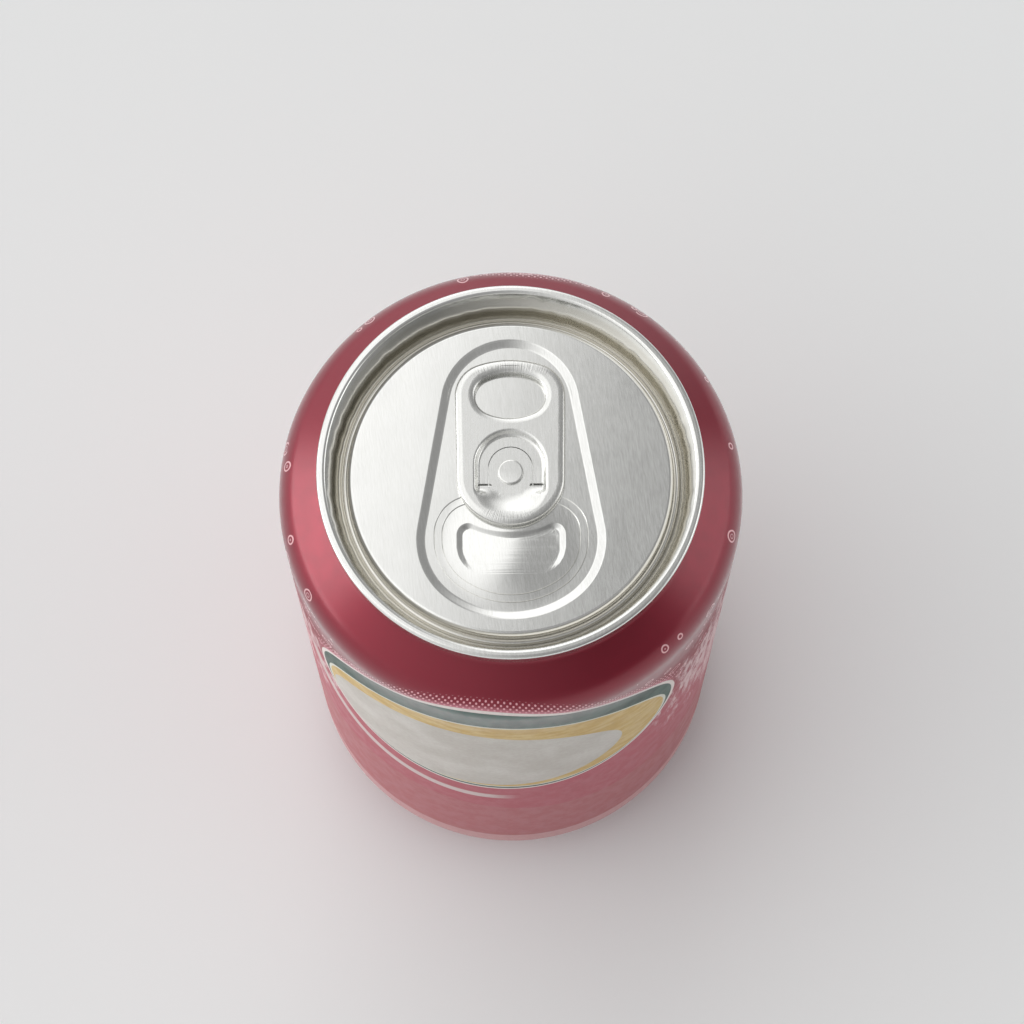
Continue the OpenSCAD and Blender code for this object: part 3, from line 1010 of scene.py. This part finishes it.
@dataclass
class CanEnd:
    """Seamed end: rolled seam, leaning wall, groove, panel with its tear line, and rivet."""

    top: float = CanBody.height
    seam_outer: float = 27.0
    seam_middle: float = 26.2
    seam_round: float = 0.5
    seam_foot: float = 0.3
    seam_bottom: float = 119.7
    underside: float = CanBody.inner_height
    wall_back_low: float = CanBody.wall_back_low
    wall_back_high: float = CanBody.wall_back_high
    wall_lean: float = 18.0
    groove_middle: float = 23.36
    groove_round: float = 0.5
    groove_height: float = 116.2
    panel_height: float = 118.1
    panel_round: float = 0.7
    deboss_depth: float = 0.4
    deboss_step: float = 1.15
    deboss_soft: float = 0.22
    deboss_far_gap: float = 2.6
    deboss_near_gap: float = 2.4
    deboss_far_round: float = 9.75
    deboss_tip: float = 15.0
    deboss_corner: float = 10.7
    deboss_half: float = 13.2
    score_inset: float = 1.25
    score_far_gap: float = 2.5
    score_tip: float = 30.0
    score_corner: float = 5.5
    score_pitch: float = 1.1
    score_width: float = 0.16
    score_depth: float = 0.08
    pocket_far: float = -7.8
    pocket_near: float = -14.5
    pocket_depth: float = 0.35
    pocket_step: float = 0.9
    pocket_soft: float = 0.3
    pocket_hollow: float = 12.0
    pocket_corner: float = 1.75
    pocket_side: float = 4.7
    pocket_half: float = 7.65
    pocket_sag: float = 1.6
    pocket_lead: float = 0.4
    pocket_pitch: float = 0.4
    pocket_cuts: int = 15
    rivet_y: float = 0.6
    rivet_radius: float = 1.5
    rivet_head: float = 1.8
    rivet_rise: float = 0.4
    rivet_round: float = 0.2
    rivet_steps: int = 6
    seat_radius: float = 2.4
    seat_slope: float = 0.1
    seat_rise: float = 0.25
    web_rise: float = 0.6
    relief_depth: float = 0.001
    crown_rise: float = 0.3
    crown_y: float = -9.4
    crown_across: float = 10.0
    crown_along: float = 10.2

    @property
    def floor(self) -> float:
        """Returns the height of the sunk field's floor."""
        return self.panel_height - self.deboss_depth

    @property
    def rim_radius(self) -> float:
        """Returns the radius of the panel's rim."""
        return self.groove_middle - self.groove_round

    @property
    def deboss_near(self) -> RoundedEnd:
        """Returns the near end of the sunk field."""
        return RoundedEnd(self.rim_radius - self.deboss_near_gap, self.deboss_tip,
                          self.deboss_corner, self.deboss_half)

    def deboss_belt(self) -> Belt:
        """Returns the outline of the sunk field."""
        far = self.rim_radius - self.deboss_far_gap - self.deboss_far_round
        return Belt(((0.0, far, self.deboss_far_round),) + self.deboss_near.circles(-1))

    def score_belt(self) -> Belt:
        """Returns the outline of the score line."""
        near = self.deboss_near.moved_in(self.deboss_step + self.score_inset)
        far = RoundedEnd(self.rivet_y - self.score_far_gap, self.score_tip, self.score_corner, near.half)
        return Belt(far.circles() + near.circles(-1))

    def pocket_belt(self) -> Belt:
        """Returns the outline of the pocket under the tab's nose."""
        hollow, corner, side = self.pocket_hollow, self.pocket_corner, self.pocket_side
        x = self.pocket_half - corner
        inner = self.pocket_half - side
        y = self.pocket_far + hollow - math.sqrt((hollow + corner) ** 2 - x ** 2)
        low = y - self.pocket_sag
        return Belt(((-x, y, corner), (-inner, low, side), (inner, low, side), (x, y, corner),
                     (0.0, self.pocket_far + hollow, -hollow)))

    def ring_outline(self) -> list[Stroke]:
        """Works out half the outline of the seam, wall and groove, from the hidden underside up.

        Returns:
            The strokes, in order.
        """
        bend, foot = self.seam_round, self.seam_foot
        flat = self.rim_radius - self.panel_round
        return [
            (0, self.underside),
            (self.wall_back_low, self.underside),
            (self.wall_back_high, self.seam_bottom),
            Arc(self.seam_outer - foot, self.seam_bottom + foot, foot, -90, 0),
            Arc(self.seam_outer - bend, self.top - bend, bend, 0, 90),
            Arc(self.seam_middle, self.top - bend, bend, 90, 180 - self.wall_lean),
            Arc(self.groove_middle, self.groove_height, self.groove_round, -self.wall_lean, -180),
            Arc(flat, self.panel_height - self.panel_round, self.panel_round, 0, 90),
            (flat - GUARD, self.panel_height),
        ]

    def add_deboss(self, work: Workpiece) -> None:
        """Sinks the tear panel's field into the panel.

        Args:
            work: The end's panel.
        """
        shares = (0, 0.06, 0.12, 0.18, 0.24, 0.5, 0.76, 0.82, 0.88, 0.94, 1)
        work.plate(self.deboss_belt().strokes(-GUARD), self.panel_height)
        work.ring(GUARD)
        for one, two in zip(shares, shares[1:]):
            drop = eased_slope(two, self.deboss_soft) - eased_slope(one, self.deboss_soft)
            work.ring((two - one) * self.deboss_step, -drop * self.deboss_depth)
        work.ring(GUARD)
        work.open_up()

    def add_score(self, work: Workpiece) -> None:
        """Cuts the score line and the safety line inside it.

        Args:
            work: The end's panel.
        """
        half = self.score_width / 2
        work.plate(self.score_belt().strokes(-GUARD), self.floor)
        for gap in (GUARD, self.score_pitch - self.score_width):
            work.ring(gap)
            work.ring(half, -self.score_depth)
            work.ring(half, self.score_depth)
        work.ring(GUARD)
        work.open_up()

    def pocket_height(self, point: Vector, inset: float) -> float:
        """Gives the pocket's height at a point: a sloped edge that fades out where the ramp comes up.

        Args:
            point: Place of the point.
            inset: Distance from the pocket's outline.

        Returns:
            The height.
        """
        reach = self.pocket_far - self.pocket_lead - self.pocket_near
        along = max(0.0, point.y - self.pocket_near) / reach
        ramp = along ** 2 * (1.5 - along / 2)
        slope = eased_slope(inset / self.pocket_step, self.pocket_soft)
        return self.floor - self.pocket_depth * ramp * slope

    def add_pocket(self, work: Workpiece) -> None:
        """Sinks the pocket under the tab's nose, deepest at its far edge.

        Args:
            work: The end's panel.
        """
        work.plate(self.pocket_belt().strokes(-GUARD), self.floor)
        work.ring(GUARD)
        work.rings([0.05 * k for k in range(1, 5)] + [0.3, 0.4, 0.5, 0.6]
                   + [0.65 + 0.05 * k for k in range(12)] + [1.3, 1.45])
        work.cross_cuts([self.pocket_near + self.pocket_pitch * (k + 1) for k in range(self.pocket_cuts)])
        work.press(self.pocket_height)

    def add_rivet(self, work: Workpiece) -> None:
        """Raises the rivet and its seat from the panel's own metal.

        Args:
            work: The end's panel.
        """
        axis = (0, self.rivet_y, 0)
        bpy.ops.mesh.select_all(action="DESELECT")
        bpy.ops.mesh.primitive_circle_add(vertices=96, radius=self.seat_radius, fill_type="NGON",
                                          location=(0, self.rivet_y, self.floor))
        work.ring(self.seat_slope, self.seat_rise)
        work.ring(self.seat_radius - self.seat_slope - self.rivet_radius)
        work.ring(HAIR, self.web_rise - self.seat_rise)
        swell = self.rivet_head / self.rivet_radius
        bpy.ops.mesh.extrude_region_move(TRANSFORM_OT_translate={"value": (0, 0, 0)})
        bpy.ops.transform.resize(value=(swell, swell, 1), center_override=axis)
        bpy.ops.mesh.extrude_region_move(
            TRANSFORM_OT_translate={"value": (0, 0, self.rivet_rise - self.rivet_round)})
        for k in range(self.rivet_steps):
            one, two = (math.radians(90 * (k + j) / self.rivet_steps) for j in (0, 1))
            work.ring(self.rivet_round * (math.cos(one) - math.cos(two)),
                      self.rivet_round * (math.sin(two) - math.sin(one)))
        work.ring(GUARD)

    def relief(self, point: Value) -> Value:
        """Gives the end's fine relief: rolling marks round its rim, and the tear panel's low crown.

        Args:
            point: Point on the end.

        Returns:
            The height pattern.
        """
        graph = point.graph
        x, y, z = graph.split(point)
        radius = graph.length(x, y)
        turned = graph.noise(graph.join(radius, z, 0.0), (5.0, 5.0, 1.0))
        outer = radius.fade(self.rim_radius - 0.6, self.rim_radius)
        away = graph.length(x / self.crown_across, (y - self.crown_y) / self.crown_along)
        return turned * outer + away.fade(1.0, 0.0, 0.0, self.crown_rise / self.relief_depth)

    def recess(self, point: Value) -> Value:
        """Gives the strength of the painted shade, a darker and warmer tone: full in the groove and on the
        wall.
        """
        x, y, z = point.graph.split(point)
        return (point.graph.length(x, y).fade(self.rim_radius - 0.5, self.rim_radius)
                * z.fade(self.top - 0.6, self.top - 1.6))

    def build(self) -> bpy.types.Object:
        """Builds and dresses the end.

        Returns:
            The finished piece.
        """
        ring = Workpiece("end_ring")
        ring.draw(self.ring_outline(), Plane.UPRIGHT)
        ring.spin_round()
        bpy.ops.object.mode_set(mode="OBJECT")
        work = Workpiece("seamed_end")
        self.add_deboss(work)
        self.add_score(work)
        self.add_pocket(work)
        self.add_rivet(work)
        work.take_in(ring)
        work.fill_level(self.panel_height)
        work.fill_level(self.floor)
        work.close()
        piece = work.finish(sharp=40)
        sheet = RolledAluminium("end_sheet", grain_turn=8, relief_depth=self.relief_depth)
        # The recess mask lays painted shade in the groove and on the wall.
        piece.data.materials.append(sheet.material(self.relief, self.recess))
        return piece


@dataclass
class Tab:
    """Stay-on tab: curled edges, finger hole, and the hollow round the rivet with its slots."""

    bottom: float = 117.95
    thickness: float = 1.3
    web: float = 0.35
    curl: float = 1.0
    rim: float = 0.95
    roll_steps: int = 10
    far: RoundedEnd = RoundedEnd(17.06, tip=14.0, corner=4.8, half=7.8)
    nose: RoundedEnd = RoundedEnd(7.2, tip=7.9, corner=5.9, half=7.6)
    rivet_y: float = CanEnd.rivet_y
    rivet_hole: float = 1.55
    hole_y: float = 11.76
    hole: RoundedEnd = RoundedEnd(3.3, tip=8.0, corner=2.8, half=4.9)
    island_far: float = 0.9
    island: RoundedEnd = RoundedEnd(5.8, tip=5.6, corner=3.2, half=4.35)
    slope: float = 0.9
    slope_soft: float = 0.3
    lip: float = 0.2
    bowl: float = 2.5
    bowl_soft: float = 0.45
    bowl_start: float = 1.6
    slot_y: float = 1.85
    slot_length: float = 1.7
    slot_width: float = 0.5
    slot_past: float = 0.25
    lance_radius: float = 3.1
    lance_far: float = 0.6
    lance_width: float = 0.12
    far_crimps: tuple[float, float] = (14.3, 15.4)
    nose_crimps: tuple[float, float] = (4.6, 5.6)

    @property
    def top(self) -> float:
        """Returns the height of the tab's top."""
        return self.bottom + self.thickness

    def outer_belt(self) -> Belt:
        """Returns the tab's outline."""
        return Belt(self.far.circles() + self.nose.circles(-1))

    def hole_belt(self) -> Belt:
        """Returns the finger hole's outline."""
        return Belt(self.hole.circles(1, self.hole_y) + self.hole.circles(-1, self.hole_y))

    def island_belt(self) -> Belt:
        """Returns the outline of the hollow's floor."""
        far = (0.0, self.rivet_y + self.island_far, self.island.half)
        return Belt((far,) + self.island.circles(-1, self.rivet_y))

    def roll(self, work: Workpiece, width: float, side: Side, rising: bool) -> None:
        """Rounds an edge over in a quarter turn.

        Args:
            work: The tab.
            width: Width of the rounded edge.
            side: Which side of the tab is rounded.
            rising: True from the edge to the flat, False from the flat to the edge.
        """
        half = side * self.thickness / 2
        for k in range(self.roll_steps):
            one, two = (math.pi / 2 * (k + j) / self.roll_steps for j in (0, 1))
            fall = math.cos(one) - math.cos(two)
            climb = math.sin(two) - math.sin(one)
            if rising:
                work.ring(width * fall, half * climb)
            else:
                work.ring(width * climb, -half * fall)

    def add_curls(self, work: Workpiece, side: Side) -> None:
        """Makes one side's rounded outer edge and the rim of its finger hole.

        Args:
            work: The tab.
            side: Side that is made.
        """
        flat = self.bottom + self.thickness * (1 + side) / 2
        work.plate(self.outer_belt().strokes(), self.bottom + self.thickness / 2)
        self.roll(work, self.curl, side, rising=True)
        work.ring(GUARD)
        work.open_up()
        work.plate(self.hole_belt().strokes(-self.rim - GUARD), flat)
        work.ring(GUARD)
        self.roll(work, self.rim, side, rising=False)
        work.open_up()

    def island_height(self, point: Vector, inset: float) -> float:
        """Gives the hollow's height: a lipped edge round the rivet, and a round bowl in the nose.

        Args:
            point: Place of the point.
            inset: Distance from the top of the hollow's slope.

        Returns:
            The height.
        """
        floor = self.bottom + self.web
        rise = self.top - floor
        ledge = floor
        if inset <= self.slope + HAIR:
            ledge = self.top - (rise - self.lip) * eased_slope(inset / self.slope, self.slope_soft)
        bowl = self.top - rise * eased_slope(inset / (self.slope + self.bowl), self.bowl_soft)
        start = self.rivet_y - self.slot_y - self.slot_width / 2
        share = eased_slope((start - point.y) / self.bowl_start, 0.5)
        return ledge + (bowl - ledge) * share

    def add_island(self, work: Workpiece) -> None:
        """Sinks the hollow round the rivet.

        Args:
            work: The tab.
        """
        work.plate(self.island_belt().strokes(-self.slope - GUARD), self.top)
        work.ring(GUARD)
        slope = [self.slope * k / 10 for k in range(1, 11)]
        bowl = [self.slope + 0.02] + [self.slope + self.bowl * k / 12 for k in range(1, 13)]
        work.rings(slope + bowl)
        work.press(self.island_height)

    def slot_cutter(self, hand: Hand) -> Workpiece:
        """Makes the shape of one slot, with a rounded inner end.

        Args:
            hand: Which of the two slots it is.

        Returns:
            The cutting shape.
        """
        half = self.slot_width / 2
        y = self.rivet_y - self.slot_y
        inner = hand * (self.island.half - self.slot_length + half)
        outer = hand * (self.island.half + self.slot_past - half)
        ends = [Arc(min(inner, outer), y, half, 90, 270), Arc(max(inner, outer), y, half, -90, 90)]
        return self.cutter(ends)

    def cutter(self, strokes: Sequence[Stroke]) -> Workpiece:
        """Makes an upright cutting shape that passes through the web.

        Args:
            strokes: Its outline.

        Returns:
            The cutting shape.
        """
        work = Workpiece("cutter")
        work.plate(strokes, self.bottom - 1)
        bpy.ops.mesh.extrude_region_move(TRANSFORM_OT_translate={"value": (0, 0, self.thickness + 2)})
        work.close()
        return work

    def lance_cutter(self) -> Workpiece:
        """Makes the shape of the fine arched cut round the rivet.

        Returns:
            The cutting shape.
        """
        outer = self.lance_radius + self.lance_width / 2
        inner = self.lance_radius - self.lance_width / 2
        foot = self.rivet_y - self.slot_y
        y = self.rivet_y + self.lance_far
        return self.cutter([(outer, foot), Arc(0, y, outer, 0, 180), (-outer, foot), (-inner, foot),
                            Arc(0, y, inner, 180, 0), (inner, foot)])

    def relief(self, point: Value) -> Value:
        """Gives the fine crimps that the curling leaves round the far end and the nose.

        Args:
            point: Point on the tab.

        Returns:
            The height pattern.
        """
        graph = point.graph
        x, y, _ = graph.split(point)
        far = (self.far.reach - self.far.tip, 1.0, *self.far_crimps)
        nose = (self.nose.tip - self.nose.reach, -1.0, *self.nose_crimps)
        ends = []
        for centre, way, start, finish in (far, nose):
            angle = graph.math("ARCTAN2", x, (y - centre) * way)
            crimps = graph.noise(graph.join(angle, 0.0, 0.0), (46.0, 1.0, 1.0), rough=0.6)
            ends.append(crimps * (y * way).fade(start, finish))
        return ends[0] + ends[1]

    def build(self) -> bpy.types.Object:
        """Builds and dresses the tab.

        Returns:
            The finished piece.
        """
        work = Workpiece("stay_on_tab")
        self.add_curls(work, Side.UPPER)
        self.add_island(work)
        work.fill_level(self.top)
        self.add_curls(work, Side.LOWER)
        work.fill_level(self.bottom)
        work.close()
        circle = [Arc(0, self.rivet_y, self.rivet_hole, 0, 360)]
        for cutter in (self.slot_cutter(Hand.LEFT), self.slot_cutter(Hand.RIGHT),
                       self.lance_cutter(), self.cutter(circle)):
            work.cut(cutter)
        work.clean_cuts()
        piece = work.finish(sharp=40)
        sheet = RolledAluminium("tab_sheet", relief_depth=0.03, rough_low=0.2, rough_high=0.3)
        piece.data.materials.append(sheet.material(self.relief))
        return piece


@dataclass(frozen=True)
class Shade:
    """Change of the surrounding light towards one side, from one part of the way to another."""

    axis: int
    start: float
    finish: float
    amount: float


@dataclass
class Studio:
    """Pale floor, soft light from the left and behind, and the camera above the front."""

    floor_half: float = 4.0
    floor_deep: Colour = (0.935, 0.945, 0.95, 1)
    floor_pale: Colour = (0.95, 0.96, 0.965, 1)
    elevation: float = 73.85
    distance: float = 0.457
    lens: float = 115.8
    tilt: float = -0.752
    turn: float = -0.025
    roll: float = -0.54
    target: float = 0.1222
    light: Colour = (1.0, 1.0, 0.995, 1)
    bright: float = 1.22
    dim: float = 0.37
    lean_y: float = -0.27
    lean_z: float = 0.078
    sharp_y: float = 0.278
    border: tuple[float, float] = (-0.04, 0.035)
    soften: float = 15.0
    left: tuple[Shade, Shade] = (Shade(0, -0.2, -0.5, -0.1), Shade(0, -0.84, -0.96, 2.5))
    right: tuple[Shade, Shade] = (Shade(0, 0.3, 0.5, -0.05), Shade(0, 0.84, 0.96, 1.3))
    back: Shade = Shade(1, 0.6, 0.95, 0.25)
    front: Shade = Shade(1, -0.3, -0.7, -0.1)

    def build_floor(self) -> None:
        """Lays the floor."""
        bpy.ops.object.select_all(action="DESELECT")
        bpy.ops.mesh.primitive_grid_add(x_subdivisions=8, y_subdivisions=8, size=2 * self.floor_half)
        floor = bpy.context.object
        floor.name = "studio_floor"
        graph = Graph(bpy.data.materials.new("floor_paper"))
        point = graph.place()
        colour = graph.mix(graph.noise(point, (0.004, 0.004, 0.004)), self.floor_deep, self.floor_pale)
        normal = graph.bump(graph.noise(point, (2.0, 2.0, 2.0), detail=3), 0.1, 0.01)
        floor.data.materials.append(graph.surface(Base_Color=colour, Roughness=0.7, Normal=normal))

    def build_light(self) -> None:
        """Makes the soft surrounding light, bright on the left and dim on the right.

        The border between the two is sharp where the lid mirrors it, and soft everywhere else.
        """
        world = bpy.data.worlds.new("studio")
        bpy.context.scene.world = world
        graph = Graph(world)
        way = graph.split(Value(graph, graph.node("ShaderNodeTexCoord").outputs["Generated"]))
        x, y, z = way
        away = graph.length(x, y - self.sharp_y)
        across = (x + (y * self.lean_y + z * self.lean_z)) / (away * away * self.soften + 1.0)
        strength = across.fade(*self.border, self.bright, self.dim)
        for shade in (*self.left, *self.right, self.back, self.front):
            strength = strength + way[shade.axis].fade(shade.start, shade.finish, 0.0, shade.amount)
        glow = graph.add("ShaderNodeBackground", {"Color": self.light, "Strength": strength})
        graph.node("ShaderNodeOutputWorld", {"Surface": glow})

    def build_camera(self) -> None:
        """Sets up the camera, aimed a little below the seam's centre."""
        data = bpy.data.cameras.new("view")
        data.lens = self.lens
        camera = bpy.data.objects.new("view", data)
        bpy.context.scene.collection.objects.link(camera)
        rise = math.radians(self.elevation)
        place = Vector((0, -self.distance * math.cos(rise), self.target + self.distance * math.sin(rise)))
        turns = [(90 - self.elevation, "X"), (self.roll, "Z"), (self.turn, "Y"), (self.tilt, "X")]
        matrix = Matrix.Translation(place)
        for angle, axis in turns:
            matrix = matrix @ Matrix.Rotation(math.radians(angle), 4, axis)
        camera.matrix_world = matrix
        bpy.context.scene.camera = camera

    def build(self) -> None:
        """Sets the scene round the can."""
        self.build_floor()
        self.build_light()
        self.build_camera()
        bpy.context.scene.view_settings.view_transform = "Standard"


def main() -> None:
    """Builds the can's pieces in order and says what each one stands for."""
    logging.basicConfig(level=logging.INFO, format="%(name)s: %(message)s")
    Studio().build()
    stands_for = ((CanBody(), "can_body", "printed_side"), (CanEnd(), "can_end", "end_metal"),
                  (Tab(), "tab", "tab_metal"))
    for part, node, slot in stands_for:
        piece = part.build()
        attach(piece, "root")
        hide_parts(node)
        log.info("%s: %d faces, stands for %s", piece.name, len(piece.data.polygons), node)


if __name__ == "__main__":
    main()
